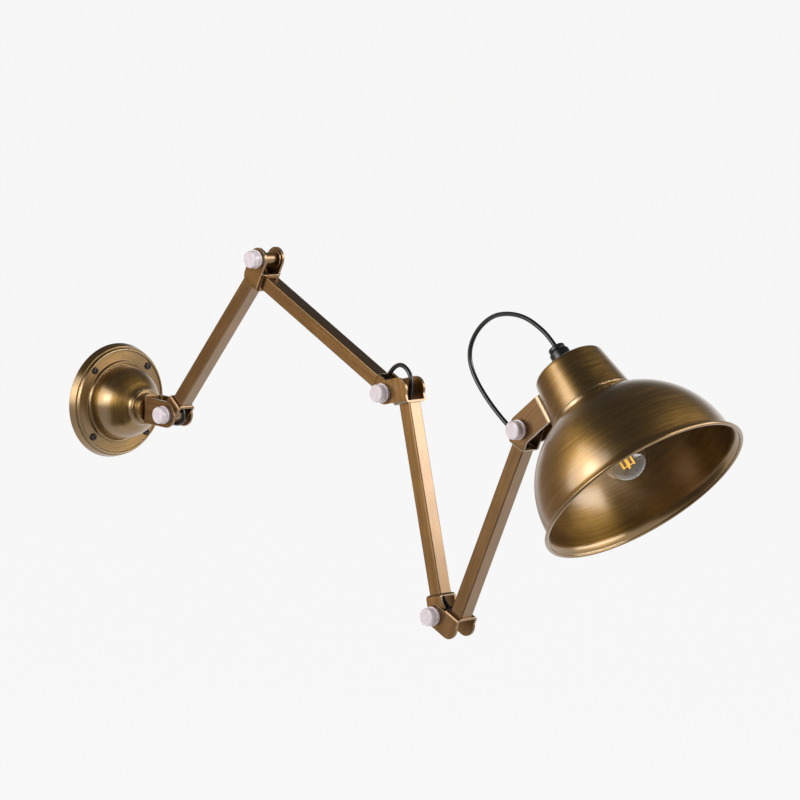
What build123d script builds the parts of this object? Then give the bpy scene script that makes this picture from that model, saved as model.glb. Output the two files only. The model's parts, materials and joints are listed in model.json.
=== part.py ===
import os
from math import acos, atan2, cos, degrees, pi, radians, sin, sqrt, tan

from build123d import *

os.makedirs("parts", exist_ok=True)

# Clearances
seat_gap = 0.05
running_gap = 0.08
face_gap = 0.05
screw_gap = 0.1

# Wall rose
pan_radius = 65.0
pan_front_radius = 62.0
pan_depth = 8.6
pan_sheet = 1.5
pan_edge = 0.7
cover_radius = 60.0
cover_flange = 2.0
cover_sheet = 1.5
cover_edge = 0.6
step_radius = 44.5
step_height = 2.5
step_edge = 1.1
dome_radius = 42.0
cover_screw_circle = 53.0
cover_screw_radius = 2.0
cover_screw_length = 7.0
cover_screw_head_radius = 4.0
cover_screw_head = 2.4
boss_radius = 4.6
wall_hole_spacing = 80.0
wall_hole_radius = 2.6
wall_cable_hole_radius = 8.0
wall_cable_hole_height = 18.0

# Nose of the rose
collar_radius = 19.6
collar_length = 6.4
neck_collar_radius = 17.0
neck_collar_length = 8.0
collar_edge = 1.0
nipple_radius = 4.3
nipple_bore = 2.8
nipple_nut_flats = 12.0
nipple_nut_height = 4.0
nipple_overrun = 2.0

# Terminal block
block_size = (12.0, 24.0, 16.0)
block_top = -20.0
block_screw_radius = 2.0
block_screw_depth = 2.0
block_screw_pitch = 7.5

# Folded brackets
sheet = 2.5
inner_ear_inside = 8.5
inner_ear_half = 10.4
inner_reach = 21.0
inner_bend = 4.0
inner_corner = 3.0
outer_ear_radius = 12.0
outer_reach = 15.0
outer_offset = 21.0
outer_bend = 3.6
outer_web_half = 10.0
clevis_reach = 42.0
clevis_half = 14.5
clevis_bend = 7.5
web_hole_radius = 6.0

# Arms
tube_side = 16.0
tube_wall = 1.5
tube_corner = 1.6
tube_length = 194.0
arm_angles = (52.5, -24.4, -73.2, 68.0)
arm_sides = (0, -1, 1, -1)

# Joint hardware
bolt_radius = 3.0
bolt_head_radius = 6.0
bolt_head = 3.4
bolt_head_edge = 2.4
bolt_end = 1.5
nut_flats = 10.0
nut_height = 5.0
cap_radius = 10.0
cap_front_radius = 8.6
cap_length = 9.6
cap_edge = 3.0
cap_skin = 2.2
sleeve_radius = 6.5

# Shade
shade_tilt = 45.7
shade_sheet = 1.0
shade_pivot_height = 135.0
neck_top_height = 148.8
neck_top_radius = 36.2
neck_edge = 4.0
crease_height = 100.5
crease_radius = 40.5
bowl_radius = 103.5
bowl_centre_height = 7.1
bowl_centre_radius = -3.9
lip_radius = 106.7
lip_bead = 1.9
rivet_radius = 2.0
rivet_head_radius = 3.8
rivet_head = 1.8
rivet_spacing = 16.0

# Cord grip and lamp
grip_steps = ((8.0, 3.0), (6.0, 2.5), (7.2, 6.0), (5.6, 2.0), (6.2, 4.0))
grip_tip_radius = 3.6
grip_tip_length = 7.5
grip_stem_radius = 5.0
cable_radius = 2.3
cable_fit = 0.05
cable_inset = 16.0
holder_mouth = 70.0
holder_shoulder = 112.0
holder_back = 121.0
holder_radius = 19.0
holder_back_radius = 12.0
holder_bore = 13.5
holder_floor = 95.0
holder_edge = 1.5
bulb_centre = 40.0
bulb_radius = 22.5
bulb_glass_wall = 0.8
bulb_neck_radius = 12.4
bulb_neck_start = 66.0
bulb_neck_top = 72.0
bulb_shoulder = 58.0
bulb_cap_radius = 13.1
bulb_cap_bottom = 67.0
bulb_cap_top = 90.0
bulb_contact_radius = 5.0
bulb_stem_radius = 4.5
bulb_stem_tip = 50.0
filament_radius = 0.9
filament_circle = 5.5
filament_bottom = 30.0
filament_top = 50.0
support_wire_radius = 0.4

# Derived sizes
cover_front = pan_depth + cover_flange
dome_centre = cover_front + step_height
nose_front = dome_centre + sqrt(dome_radius**2 - collar_radius**2)
collar_front = nose_front + collar_length
clevis_back = collar_front + neck_collar_length
base_pivot = clevis_back + clevis_reach
inner_ear_outside = inner_ear_inside + sheet
outer_ear_inside = inner_ear_outside + face_gap
outer_ear_outside = outer_ear_inside + sheet
far_reach = tube_length + inner_reach

parts = {}


# Basic shapes
def block(x0, x1, y0, y1, z0, z1):
    middle = Pos((x0 + x1) / 2, (y0 + y1) / 2, (z0 + z1) / 2)
    return middle * Box(x1 - x0, y1 - y0, z1 - z0)


def rod_x(radius, x0, x1, y=0.0, z=0.0):
    return Pos((x0 + x1) / 2, y, z) * Rot(0, 90, 0) * Cylinder(radius, x1 - x0)


def rod_y(radius, y0, y1, x=0.0, z=0.0):
    return Pos(x, (y0 + y1) / 2, z) * Rot(90, 0, 0) * Cylinder(radius, y1 - y0)


def rod_z(radius, z0, z1, x=0.0, y=0.0):
    return Pos(x, y, (z0 + z1) / 2) * Cylinder(radius, z1 - z0)


def hexagon(flats, height):
    return extrude(RegularPolygon(flats / sqrt(3), 6), height)


# Closed outline with rounded corners, each corner (u, v, radius), placed by a function
def rounded_face(corners, place):
    starts = []
    ends = []
    middles = []
    count = len(corners)
    for i in range(count):
        u, v, radius = corners[i]
        before = corners[i - 1]
        after = corners[(i + 1) % count]
        a = Vector(before[0] - u, before[1] - v, 0).normalized()
        b = Vector(after[0] - u, after[1] - v, 0).normalized()
        half = acos(max(-1.0, min(1.0, a.dot(b)))) / 2
        back = radius / tan(half)
        bisector = (a + b).normalized() if radius else a
        depth = radius / sin(half) - radius
        corner = Vector(u, v, 0)
        starts.append(corner + a * back)
        ends.append(corner + b * back)
        middles.append(corner + bisector * depth)
    edges = []
    for i in range(count):
        if corners[i][2]:
            arc_points = (starts[i], middles[i], ends[i])
            edges.append(ThreePointArc(*[place(p.X, p.Y) for p in arc_points]))
        finish = starts[(i + 1) % count]
        if (finish - ends[i]).length > 1e-6:
            edges.append(Line(place(ends[i].X, ends[i].Y), place(finish.X, finish.Y)))
    return make_face(Wire(edges))


def in_xz(u, v):
    return (u, 0, v)


def in_xy(u, v):
    return (u, v, 0)


def turned_x(corners):
    return revolve(rounded_face(corners, in_xz), Axis.X)


def turned_z(corners):
    return revolve(rounded_face(corners, in_xz), Axis.Z)


# Round cord along a path of straight runs and tangent arcs
def cord(name, points):
    radii = []
    for i in range(1, len(points) - 1):
        before = Vector(points[i]) - Vector(points[i - 1])
        after = Vector(points[i + 1]) - Vector(points[i])
        turn = radians(before.get_angle(after))
        radii.append(0.45 * min(before.length, after.length) / tan(turn / 2))
    path = FilletPolyline(*points, radius=radii) if radii else Line(*points)
    section = Plane(path @ 0, z_dir=path % 0) * Circle(cable_radius)
    solid = sweep(section, path=path)
    expected = pi * cable_radius**2 * path.length
    tightest = min(radii) if radii else 0.0
    print(name, "radii", [round(r, 1) for r in radii], "tightest", round(tightest, 1), "volume ratio",
          round(solid.volume / expected, 4))
    return solid


# Folded bracket with its web across +X and its ears reaching back to tip
def folded(tip, reach, inside, bend, low, high):
    outside = inside + sheet
    web = reach - sheet
    corners = [
        (tip, -outside, 0),
        (reach, -outside, bend),
        (reach, outside, bend),
        (tip, outside, 0),
        (tip, inside, 0),
        (web, inside, bend - sheet),
        (web, -inside, bend - sheet),
        (tip, -inside, 0),
    ]
    return Pos(0, 0, low) * extrude(rounded_face(corners, in_xy), high - low)


# Ear plate outline cut through the whole width
def ear_blank(half, reach, corner, width):
    outline = [
        (0, -half, 0),
        (reach, -half, corner),
        (reach, half, corner),
        (0, half, 0),
    ]
    blank = Pos(0, width, 0) * extrude(rounded_face(outline, in_xz), 2 * width, dir=(0, -1, 0))
    return blank + rod_y(half, -width, width)


def inner_bracket():
    half = inner_ear_half
    body = folded(-half, inner_reach, inner_ear_inside, inner_bend, -half, half)
    body = body & ear_blank(half, inner_reach, inner_corner, inner_ear_outside + 1)
    body = body - rod_y(bolt_radius + running_gap, -inner_ear_outside - 1, inner_ear_outside + 1)
    return body - rod_x(web_hole_radius, 0, inner_reach + 1)


def outer_bracket(side):
    tube_axis = side * outer_offset
    low = tube_axis - outer_web_half
    high = tube_axis + outer_web_half
    body = folded(0, outer_reach, outer_ear_inside, outer_bend, low, high)
    for y0 in (-outer_ear_outside, outer_ear_inside):
        y1 = y0 + sheet
        ear = rod_y(outer_ear_radius, y0, y1) + rod_y(outer_ear_radius, y0, y1, 0, tube_axis)
        ear = ear + block(-outer_ear_radius, outer_ear_radius, y0, y1, min(0, tube_axis), max(0, tube_axis))
        body = body + ear
    body = body - rod_y(bolt_radius + seat_gap, -outer_ear_outside - 1, outer_ear_outside + 1)
    return body - rod_x(web_hole_radius, outer_reach - sheet - 1, outer_reach + 1, 0, tube_axis)


def clevis_bracket():
    half = clevis_half
    body = folded(-half, clevis_reach, outer_ear_inside, clevis_bend, -half, half)
    body = body & ear_blank(half, clevis_reach, 0, outer_ear_outside + 1)
    return body - rod_y(bolt_radius + seat_gap, -outer_ear_outside - 1, outer_ear_outside + 1)


def square_tube(start, axis_z):
    outer = RectangleRounded(tube_side, tube_side, tube_corner)
    hollow = Rectangle(tube_side - 2 * tube_wall, tube_side - 2 * tube_wall)
    upright = extrude(outer - hollow, tube_length)
    return Pos(start, 0, axis_z) * Rot(0, 90, 0) * upright


# Wall rose
pan_taper = (pan_radius - pan_front_radius) / pan_depth
pan_floor_radius = pan_radius - pan_taper * pan_sheet - pan_sheet
wall_pan = turned_x([
    (0, 0, 0),
    (0, pan_radius, pan_edge),
    (pan_depth, pan_front_radius, pan_edge),
    (pan_depth, pan_front_radius - pan_sheet, 0),
    (pan_sheet, pan_floor_radius, 0),
    (pan_sheet, 0, 0),
])
screw_spots = []
for k in range(4):
    spot_angle = radians(45 + 90 * k)
    screw_spots.append((cover_screw_circle * cos(spot_angle), cover_screw_circle * sin(spot_angle)))
screw_start = cover_front - cover_screw_length
for y, z in screw_spots:
    wall_pan = wall_pan + rod_x(boss_radius, pan_sheet, pan_depth, y, z)
for y, z in screw_spots:
    wall_pan = wall_pan - rod_x(cover_screw_radius + screw_gap, screw_start, pan_depth + 1, y, z)
for y in (-wall_hole_spacing / 2, wall_hole_spacing / 2):
    wall_pan = wall_pan - rod_x(wall_hole_radius, -1, pan_sheet + 1, y, 0)
wall_pan = wall_pan - rod_x(wall_cable_hole_radius, -1, pan_sheet + 1, 0, wall_cable_hole_height)
parts["wall_pan"] = wall_pan

inner_dome = dome_radius - cover_sheet
nose_back = nose_front - cover_sheet
nose_inner = sqrt(inner_dome**2 - (nose_back - dome_centre)**2)
step_back = dome_centre - cover_sheet
step_inner = sqrt(inner_dome**2 - cover_sheet**2)
bead_inner = step_radius - cover_sheet
rim_start = cover_front - cover_edge
rim_turn = cover_edge * (1 - sqrt(0.5))
bead_turn = step_edge * (1 - sqrt(0.5))
diagonal = sqrt(0.5)
nipple_hole = nipple_radius + seat_gap
cover_edges = [
    Line(in_xz(pan_depth, bead_inner), in_xz(pan_depth, cover_radius)),
    Line(in_xz(pan_depth, cover_radius), in_xz(rim_start, cover_radius)),
    ThreePointArc(in_xz(rim_start, cover_radius), in_xz(cover_front - rim_turn, cover_radius - rim_turn),
                  in_xz(cover_front, cover_radius - cover_edge)),
    Line(in_xz(cover_front, cover_radius - cover_edge), in_xz(cover_front, step_radius)),
    Line(in_xz(cover_front, step_radius), in_xz(dome_centre - step_edge, step_radius)),
    ThreePointArc(in_xz(dome_centre - step_edge, step_radius),
                  in_xz(dome_centre - bead_turn, step_radius - bead_turn),
                  in_xz(dome_centre, step_radius - step_edge)),
    Line(in_xz(dome_centre, step_radius - step_edge), in_xz(dome_centre, dome_radius)),
    ThreePointArc(in_xz(dome_centre, dome_radius),
                  in_xz(dome_centre + dome_radius * diagonal, dome_radius * diagonal),
                  in_xz(nose_front, collar_radius)),
    Line(in_xz(nose_front, collar_radius), in_xz(nose_front, nipple_hole)),
    Line(in_xz(nose_front, nipple_hole), in_xz(nose_back, nipple_hole)),
    Line(in_xz(nose_back, nipple_hole), in_xz(nose_back, nose_inner)),
    ThreePointArc(in_xz(nose_back, nose_inner),
                  in_xz(dome_centre + inner_dome * diagonal, inner_dome * diagonal),
                  in_xz(step_back, step_inner)),
    Line(in_xz(step_back, step_inner), in_xz(step_back, bead_inner)),
    Line(in_xz(step_back, bead_inner), in_xz(pan_depth, bead_inner)),
]
wall_cover = revolve(make_face(Wire(cover_edges)), Axis.X)
for y, z in screw_spots:
    wall_cover = wall_cover - rod_x(cover_screw_radius + screw_gap, pan_depth - 1, cover_front + 1, y, z)
parts["wall_cover"] = wall_cover

screw_profile = [
    (screw_start, 0, 0),
    (screw_start, cover_screw_radius, 0),
    (cover_front, cover_screw_radius, 0),
    (cover_front, cover_screw_head_radius, 0),
    (cover_front + cover_screw_head, cover_screw_head_radius, 1.6),
    (cover_front + cover_screw_head, 0, 0),
]
cross_slot = block(cover_front + 1.2, cover_front + 4, -2.4, 2.4, -0.5, 0.5)
cross_slot = cross_slot + block(cover_front + 1.2, cover_front + 4, -0.5, 0.5, -2.4, 2.4)
cover_screw = turned_x(screw_profile) - cross_slot
parts["cover_screws"] = Compound(children=[Pos(0, y, z) * cover_screw for y, z in screw_spots])

nose_collar = turned_x([
    (nose_front, nipple_hole, 0),
    (nose_front, collar_radius, 0),
    (collar_front, collar_radius, collar_edge),
    (collar_front, neck_collar_radius, 0),
    (clevis_back, neck_collar_radius, collar_edge),
    (clevis_back, nipple_hole, 0),
])
parts["nose_collar"] = nose_collar

web_inside = clevis_back + sheet
nipple_back = nose_back - nipple_nut_height - nipple_overrun
nipple_front = web_inside + nipple_nut_height + nipple_overrun
nose_nipple = rod_x(nipple_radius, nipple_back, nipple_front)
parts["nose_nipple"] = nose_nipple - rod_x(nipple_bore, nipple_back - 1, nipple_front + 1)
nipple_nut = Rot(0, 90, 0) * hexagon(nipple_nut_flats, nipple_nut_height)
nipple_nut = nipple_nut - rod_x(nipple_hole, -1, nipple_nut_height + 1)
parts["nipple_nuts"] = Compound(children=[
    Pos(nose_back - nipple_nut_height, 0, 0) * nipple_nut,
    Pos(web_inside, 0, 0) * nipple_nut,
])

base_clevis = Location((base_pivot, 0, 0), (0, 180, 0)) * clevis_bracket()
parts["base_clevis"] = base_clevis - rod_x(nipple_hole, clevis_back - 1, web_inside + 1)

block_front = pan_sheet + block_size[0]
half_block = block_size[1] / 2
terminal_block = block(pan_sheet, block_front, -half_block, half_block, block_top - block_size[2], block_top)
for k in (-1, 0, 1):
    for z in (block_top - block_size[2] * 0.25, block_top - block_size[2] * 0.75):
        recess = rod_x(block_screw_radius, block_front - block_screw_depth, block_front + 1,
                       k * block_screw_pitch, z)
        terminal_block = terminal_block - recess
parts["terminal_block"] = terminal_block

# Pivot positions, from the wall outward
pivots = [(base_pivot, 0.0)]


def arm_point(i, along, across):
    angle = radians(arm_angles[i])
    px, pz = pivots[i]
    return (px + along * cos(angle) - across * sin(angle), 0, pz + along * sin(angle) + across * cos(angle))


tube_starts = []
tube_heights = []
for i in range(4):
    tube_starts.append(outer_reach if arm_sides[i] else inner_reach)
    tube_heights.append(arm_sides[i] * outer_offset)
    next_pivot = arm_point(i, tube_starts[i] + far_reach, tube_heights[i])
    pivots.append((next_pivot[0], next_pivot[2]))

# Arms
for i in range(4):
    place = Location((pivots[i][0], 0, pivots[i][1]), (0, -arm_angles[i], 0))
    name = "arm_" + str(i + 1)
    near = outer_bracket(arm_sides[i]) if arm_sides[i] else inner_bracket()
    far = Pos(tube_starts[i] + far_reach, 0, tube_heights[i]) * Rot(0, 180, 0) * inner_bracket()
    parts[name + "_tube"] = place * square_tube(tube_starts[i], tube_heights[i])
    parts[name + "_near_bracket"] = place * near
    parts[name + "_far_bracket"] = place * far

# Joint hardware
bolt_profile = [
    (0, -outer_ear_outside - nut_height - bolt_end, 0),
    (bolt_radius, -outer_ear_outside - nut_height - bolt_end, 0),
    (bolt_radius, outer_ear_outside, 0),
    (bolt_head_radius, outer_ear_outside, 0),
    (bolt_head_radius, outer_ear_outside + bolt_head, bolt_head_edge),
    (0, outer_ear_outside + bolt_head, 0),
]
bolt = Rot(-90, 0, 0) * turned_z(bolt_profile)
nut = hexagon(nut_flats, nut_height) - rod_z(bolt_radius + seat_gap, -1, nut_height + 1)
nut = Pos(0, -outer_ear_outside, 0) * Rot(90, 0, 0) * nut
cavity = nut_flats / sqrt(3) + seat_gap
cap = turned_z([
    (cavity, 0, 0),
    (cap_radius, 0, 0),
    (cap_front_radius, cap_length, cap_edge),
    (0, cap_length, 0),
    (0, cap_length - cap_skin, 0),
    (cavity, cap_length - cap_skin, 0),
])
cap = Pos(0, -outer_ear_outside, 0) * Rot(90, 0, 0) * cap
sleeve = rod_y(sleeve_radius, -inner_ear_inside, inner_ear_inside)
sleeve = sleeve - rod_y(bolt_radius + running_gap, -outer_ear_outside, outer_ear_outside)
for i in range(5):
    name = "joint_" + str(i + 1)
    place = Pos(pivots[i][0], 0, pivots[i][1])
    parts[name + "_bolt"] = place * bolt
    parts[name + "_nut"] = place * nut
    parts[name + "_cap"] = place * cap
    parts[name + "_sleeve"] = place * sleeve

# Shade, built mouth down with its rim plane at z = 0
cone_slope = (crease_radius - neck_top_radius) / (neck_top_height - crease_height)
cone_angle = degrees(atan2(cone_slope, 1))
pivot_radius = crease_radius - cone_slope * (shade_pivot_height - crease_height)
pivot_distance = pivot_radius + clevis_reach / cos(radians(cone_angle))
tilt = radians(shade_tilt)
shade_origin = (
    pivots[4][0] + shade_pivot_height * sin(tilt) + pivot_distance * cos(tilt),
    0,
    pivots[4][1] - shade_pivot_height * cos(tilt) + pivot_distance * sin(tilt),
)
shade_place = Location(shade_origin, (0, -shade_tilt, 0))


def bowl_r(height, radius):
    return bowl_centre_radius + sqrt(radius**2 - (height - bowl_centre_height)**2)


def neck_r(height):
    return crease_radius - cone_slope * (height - crease_height)


inner_bowl = bowl_radius - shade_sheet
inner_crease = crease_radius - shade_sheet
inner_crease_height = bowl_centre_height + sqrt(inner_bowl**2 - (inner_crease - bowl_centre_radius)**2)
outer_crease = bowl_r(crease_height, bowl_radius)
neck_inside = neck_top_height - shade_sheet
inner_edge = neck_edge - shade_sheet
grip_hole = grip_stem_radius + seat_gap
edge_turn = neck_edge * (1 - diagonal)
middle_height = crease_height * 0.6
neck_shoulder = in_xz(neck_r(neck_top_height - neck_edge), neck_top_height - neck_edge)
inner_shoulder = in_xz(neck_r(neck_inside - inner_edge) - shade_sheet, neck_inside - inner_edge)
inner_top = in_xz(neck_top_radius - neck_edge, neck_inside)
bowl_edges = [
    Line(in_xz(grip_hole, neck_inside), in_xz(grip_hole, neck_top_height)),
    Line(in_xz(grip_hole, neck_top_height), in_xz(neck_top_radius - neck_edge, neck_top_height)),
    ThreePointArc(in_xz(neck_top_radius - neck_edge, neck_top_height),
                  in_xz(neck_top_radius - edge_turn, neck_top_height - edge_turn),
                  neck_shoulder),
    Line(neck_shoulder, in_xz(crease_radius, crease_height)),
    Line(in_xz(crease_radius, crease_height), in_xz(outer_crease, crease_height)),
    ThreePointArc(in_xz(outer_crease, crease_height),
                  in_xz(bowl_r(middle_height, bowl_radius), middle_height),
                  in_xz(bowl_r(0, bowl_radius), 0)),
    Line(in_xz(bowl_r(0, bowl_radius), 0), in_xz(bowl_r(0, inner_bowl), 0)),
    ThreePointArc(in_xz(bowl_r(0, inner_bowl), 0),
                  in_xz(bowl_r(middle_height, inner_bowl), middle_height),
                  in_xz(inner_crease, inner_crease_height)),
    Line(in_xz(inner_crease, inner_crease_height), inner_shoulder),
    Line(inner_shoulder, inner_top),
    Line(inner_top, in_xz(grip_hole, neck_inside)),
]
shade = revolve(make_face(Wire(bowl_edges)), Axis.Z)
bead_centre = lip_radius - lip_bead
lip_flange = [
    (bowl_r(0, inner_bowl), 0, 0),
    (bead_centre, 0, 0),
    (bead_centre, shade_sheet, 0),
    (bowl_r(shade_sheet, inner_bowl), shade_sheet, 0),
]
shade = shade + turned_z(lip_flange)
shade = shade + Pos(0, 0, shade_sheet / 2) * Torus(bead_centre, lip_bead)

# Rivet line of the shade bracket, square to the side of the neck
bracket_turn = shade_tilt - cone_angle
bracket_place = Location((pivots[4][0], 0, pivots[4][1]), (0, -bracket_turn, 0))
shade_bracket = clevis_bracket()
rivets = []
shade = shade_place * shade
rivet_front = clevis_reach + shade_sheet * 1.05
rivet_profile = [
    (clevis_reach - sheet - rivet_head, 0, 0),
    (clevis_reach - sheet - rivet_head, rivet_head_radius, 1.2),
    (clevis_reach - sheet, rivet_head_radius, 0),
    (clevis_reach - sheet, rivet_radius, 0),
    (rivet_front + rivet_head, rivet_radius, 0),
    (rivet_front + rivet_head, 0, 0),
]
for z in (-rivet_spacing / 2, rivet_spacing / 2):
    hole = rod_x(rivet_radius + seat_gap, clevis_reach - sheet - 1, rivet_front + rivet_head + 1, 0, z)
    shade_bracket = shade_bracket - hole
    shade = shade - bracket_place * hole
    rivets.append(bracket_place * Pos(0, 0, z) * turned_x(rivet_profile))
parts["shade"] = shade
parts["shade_bracket"] = bracket_place * shade_bracket
parts["bracket_rivets"] = Compound(children=rivets)

# Cord grip on the neck, with its stem reaching down to the lampholder
grip_height = neck_top_height
cord_grip = rod_z(grip_stem_radius, holder_back, neck_top_height)
for step_r, step_h in grip_steps:
    cord_grip = cord_grip + rod_z(step_r, grip_height, grip_height + step_h)
    grip_height = grip_height + step_h
grip_top = grip_height + grip_tip_length
cord_grip = cord_grip + turned_z([
    (0, grip_height, 0),
    (grip_steps[-1][0] - 1.0, grip_height, 0),
    (grip_tip_radius, grip_top, 0),
    (0, grip_top, 0),
])
cord_grip = cord_grip - rod_z(cable_radius + cable_fit, holder_back - 1, grip_top + 1)
parts["cord_grip"] = shade_place * cord_grip

# Lampholder and bulb
lampholder = turned_z([
    (0, holder_back, 0),
    (holder_back_radius, holder_back, holder_edge),
    (holder_radius, holder_shoulder, holder_edge),
    (holder_radius, holder_mouth, holder_edge),
    (holder_bore, holder_mouth, 0),
    (holder_bore, holder_floor, 0),
    (0, holder_floor, 0),
])
parts["lampholder"] = shade_place * lampholder


def bulb_side(radius, neck, shoulder):
    start_angle = radians(-90)
    end_angle = atan2(shoulder - bulb_centre, sqrt(radius**2 - (shoulder - bulb_centre)**2))
    middle = (start_angle + end_angle) / 2
    low = in_xz(0, bulb_centre - radius)
    side = in_xz(radius * cos(middle), bulb_centre + radius * sin(middle))
    high = in_xz(radius * cos(end_angle), bulb_centre + radius * sin(end_angle))
    return [ThreePointArc(low, side, high), Line(high, in_xz(neck, bulb_neck_start))]


inner_glass = bulb_radius - bulb_glass_wall
glass_outer = bulb_side(bulb_radius, bulb_neck_radius, bulb_shoulder)
glass_inner = bulb_side(inner_glass, bulb_neck_radius - bulb_glass_wall, bulb_shoulder)
neck_inner = in_xz(bulb_neck_radius - bulb_glass_wall, bulb_neck_start)
stem_foot = in_xz(bulb_stem_radius, bulb_neck_start)
stem_end = in_xz(bulb_stem_radius * 0.5, bulb_stem_tip)
glass_edges = glass_outer + [
    Line(in_xz(bulb_neck_radius, bulb_neck_start), in_xz(bulb_neck_radius, bulb_neck_top)),
    Line(in_xz(bulb_neck_radius, bulb_neck_top), in_xz(0, bulb_neck_top)),
    Line(in_xz(0, bulb_neck_top), in_xz(0, bulb_stem_tip)),
    Line(in_xz(0, bulb_stem_tip), stem_end),
    Line(stem_end, stem_foot),
    Line(stem_foot, neck_inner),
] + glass_inner + [Line(in_xz(0, bulb_centre - inner_glass), in_xz(0, bulb_centre - bulb_radius))]
parts["bulb_glass"] = shade_place * revolve(make_face(Wire(glass_edges)), Axis.Z)

bulb_cap = turned_z([
    (bulb_neck_radius + cable_fit, bulb_cap_bottom, 0),
    (bulb_cap_radius, bulb_cap_bottom, 0),
    (bulb_cap_radius, bulb_cap_top, 1.5),
    (bulb_contact_radius, holder_floor, 0),
    (0, holder_floor, 0),
    (0, bulb_neck_top, 0),
    (bulb_neck_radius + cable_fit, bulb_neck_top, 0),
])
parts["bulb_cap"] = shade_place * bulb_cap

filaments = rod_z(support_wire_radius, filament_bottom, bulb_stem_tip)
for k in range(4):
    turn = Rot(0, 0, 45 + 90 * k)
    filaments = filaments + turn * rod_z(filament_radius, filament_bottom, filament_top, filament_circle, 0)
    for z in (filament_bottom + 2 * support_wire_radius, filament_top - 2 * support_wire_radius):
        filaments = filaments + turn * rod_x(support_wire_radius, 0, filament_circle, 0, z)
parts["bulb_filaments"] = shade_place * filaments

# Cable inside the rose, the tubes and the neck
cable_start = block_size[0] / 2 + pan_sheet
cable_nose = nipple_front + 1.0
parts["cable_base"] = cord("cable_base", [
    (cable_start, 0, block_top),
    (cable_start, 0, block_top * 0.35),
    (cable_start + 15, 0, 0),
    (cable_nose, 0, 0),
])
run_starts = []
run_ends = []
for i in range(4):
    run_starts.append(tube_starts[i] - sheet + cable_inset)
    run_ends.append(tube_starts[i] + tube_length + sheet - cable_inset)
    name = "cable_run_" + str(i + 1)
    ends = [arm_point(i, run_starts[i], tube_heights[i]), arm_point(i, run_ends[i], tube_heights[i])]
    parts[name] = cord(name, ends)


def from_pivot(i, x, z):
    return (pivots[i][0] + x, 0, pivots[i][1] + z)


def on_shade(height):
    spot = shade_place * Pos(0, 0, height)
    return (spot.position.X, 0, spot.position.Z)


parts["cable_tail"] = cord("cable_tail", [on_shade(grip_top), on_shade(holder_back)])

# Slack cable at each joint
exits = []
for i in range(4):
    exits.append(tube_starts[i] + tube_length + sheet)
parts["cable_loop_1"] = cord("cable_loop_1", [
    (cable_nose, 0, 0),
    from_pivot(0, -22.0, 0.0),
    from_pivot(0, -10.0, -10.6),
    from_pivot(0, 8.0, -11.2),
    from_pivot(0, 16.0, -3.0),
    from_pivot(0, 11.4, 11.5),
    arm_point(0, run_starts[0] - 8.0, 0),
    arm_point(0, run_starts[0], 0),
])
parts["cable_loop_2"] = cord("cable_loop_2", [
    arm_point(0, run_ends[0], 0),
    arm_point(0, exits[0] + 2.9, 0),
    arm_point(1, run_starts[1] - 6.5, tube_heights[1]),
    arm_point(1, run_starts[1], tube_heights[1]),
])
parts["cable_loop_3"] = cord("cable_loop_3", [
    arm_point(1, run_ends[1], tube_heights[1]),
    arm_point(1, exits[1] + 3.3, tube_heights[1]),
    from_pivot(2, -3.0, 24.0),
    from_pivot(2, 10.0, 30.3),
    from_pivot(2, 22.5, 23.0),
    from_pivot(2, 26.5, 10.5),
    arm_point(2, outer_reach - sheet - 0.5, tube_heights[2]),
    arm_point(2, run_starts[2], tube_heights[2]),
])
parts["cable_loop_4"] = cord("cable_loop_4", [
    arm_point(2, run_ends[2], tube_heights[2]),
    arm_point(2, exits[2] + 6.3, tube_heights[2]),
    arm_point(3, 9.5, -19.5),
    arm_point(3, run_starts[3] - 6.5, tube_heights[3]),
    arm_point(3, run_starts[3], tube_heights[3]),
])
parts["cable_loop_5"] = cord("cable_loop_5", [
    arm_point(3, run_ends[3], tube_heights[3]),
    arm_point(3, exits[3] + 3.0, tube_heights[3]),
    from_pivot(4, -36.0, 2.0),
    from_pivot(4, -66.0, 25.5),
    from_pivot(4, -84.0, 47.5),
    from_pivot(4, -87.5, 66.5),
    from_pivot(4, -78.0, 86.5),
    from_pivot(4, -59.0, 102.5),
    from_pivot(4, -37.0, 108.2),
    from_pivot(4, -13.0, 107.2),
    from_pivot(4, 9.5, 98.0),
    on_shade(grip_top + 7.0),
    on_shade(grip_top),
])

for name, shape in parts.items():
    export_step(shape, "parts/" + name + ".step")
print(len(parts), "parts, pivots", [(round(x, 3), round(z, 3)) for x, z in pivots])
print("shade origin", [round(v, 2) for v in shade_origin], "cone", round(cone_angle, 2))
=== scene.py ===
import json
import math

import bmesh
import bpy
from mathutils import Matrix, Vector


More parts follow.
